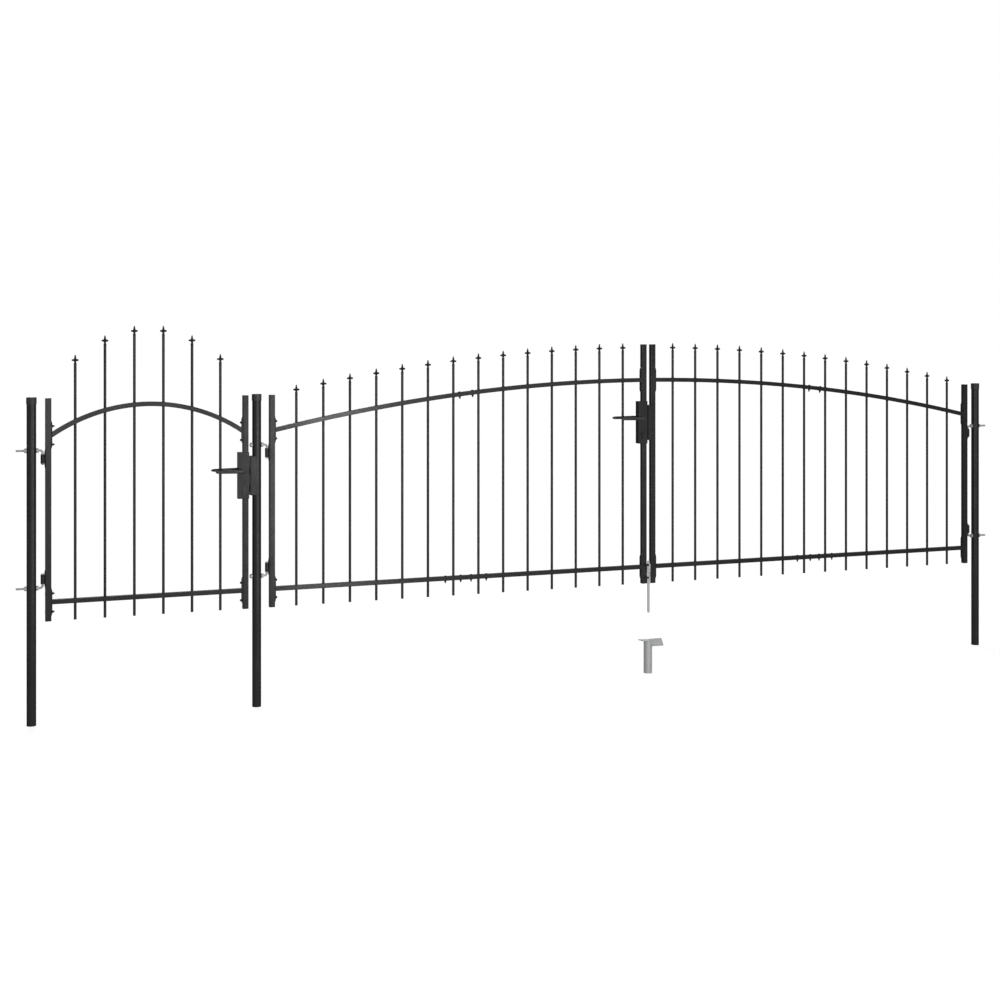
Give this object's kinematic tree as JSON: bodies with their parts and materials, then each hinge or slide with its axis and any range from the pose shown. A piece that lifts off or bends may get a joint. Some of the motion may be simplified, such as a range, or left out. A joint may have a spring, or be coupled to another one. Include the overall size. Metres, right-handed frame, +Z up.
{
  "type": "driveway gate set",
  "caption": "Black tubular driveway gate set: a round-arched single gate beside a double gate under one shallow arch, on round posts, with spear-tipped bars, lever locks and a drop bolt.",
  "frame": {"origin": "centre of the left post's foot, on its flat underside", "axes": "+X along the gates from the left post to the right post, +Y away from the viewer, +Z up"},
  "size_m": [4.981, 0.121, 1.7008],
  "materials": {
    "black_coat": "satin black powder coat",
    "black_plastic": "matt black moulded plastic",
    "zinc": "galvanised, dull",
    "nickel": "satin nickel"
  },
  "bodies": {
    "posts": {"left_post": "black_coat", "middle_post": "black_coat", "right_post": "black_coat", "post_caps": "black_plastic", "left_post_hinge_bolts": "zinc", "middle_post_hinge_bolts": "zinc", "right_post_hinge_bolts": "zinc", "hinge_nuts": "zinc", "single_gate_keep": "black_coat", "ground_stop": "zinc"},
    "single_gate": {"single_gate_hinge_stile": "black_coat", "single_gate_lock_stile": "black_coat", "single_gate_panel": "black_coat", "single_gate_spear_tips": "black_coat", "single_gate_hinge_barrels": "black_coat", "single_gate_stile_caps": "black_plastic", "single_gate_lock_case": "black_coat", "single_gate_lock_cylinder": "nickel"},
    "single_lever": {"single_gate_lever": "black_plastic"},
    "left_leaf": {"left_leaf_hinge_stile": "black_coat", "left_leaf_lock_stile": "black_coat", "left_leaf_outer_panel": "black_coat", "left_leaf_inner_panel": "black_coat", "left_leaf_splices": "black_coat", "left_leaf_spear_tips": "black_coat", "left_leaf_hinge_barrels": "black_coat", "left_leaf_stile_caps": "black_plastic", "left_leaf_lock_case": "black_coat", "left_leaf_lock_cylinder": "nickel", "left_leaf_bolt_guide": "zinc", "left_leaf_guide_lugs": "black_coat"},
    "left_lever": {"left_leaf_lever": "black_plastic"},
    "drop_bolt": {"drop_bolt": "zinc"},
    "right_leaf": {"right_leaf_hinge_stile": "black_coat", "right_leaf_meeting_stile": "black_coat", "right_leaf_outer_panel": "black_coat", "right_leaf_inner_panel": "black_coat", "right_leaf_splices": "black_coat", "right_leaf_spear_tips": "black_coat", "right_leaf_hinge_barrels": "black_coat", "right_leaf_stile_caps": "black_plastic", "right_leaf_keep": "black_coat"}
  },
  "joints": [
    {"name": "single_gate_swing", "type": "hinge", "parent": "posts", "child": "single_gate", "pos_m": [0.046, 0, 0.876], "axis": [0, 0, 1], "range_deg": [0, 90]},
    {"name": "left_leaf_swing", "type": "hinge", "parent": "posts", "child": "left_leaf", "pos_m": [1.015, 0, 0.876], "axis": [0, 0, 1], "range_deg": [0, 90]},
    {"name": "right_leaf_swing", "type": "hinge", "parent": "posts", "child": "right_leaf", "pos_m": [4.807, 0, 0.876], "axis": [0, 0, -1], "range_deg": [0, 90]},
    {"name": "single_lever_turn", "type": "hinge", "parent": "single_gate", "child": "single_lever", "pos_m": [0.907, 0, 1.0525], "axis": [0, -1, 0], "range_deg": [0, 40], "stiffness_Nm_per_rad": 2, "springref_deg": -20.05},
    {"name": "left_lever_turn", "type": "hinge", "parent": "left_leaf", "child": "left_lever", "pos_m": [2.876, 0, 1.2475], "axis": [0, -1, 0], "range_deg": [0, 40], "stiffness_Nm_per_rad": 2, "springref_deg": -20.05},
    {"name": "drop_bolt_slide", "type": "slide", "parent": "left_leaf", "child": "drop_bolt", "axis": [0, 0, 1], "range_m": [0, 0.14]}
  ]
}
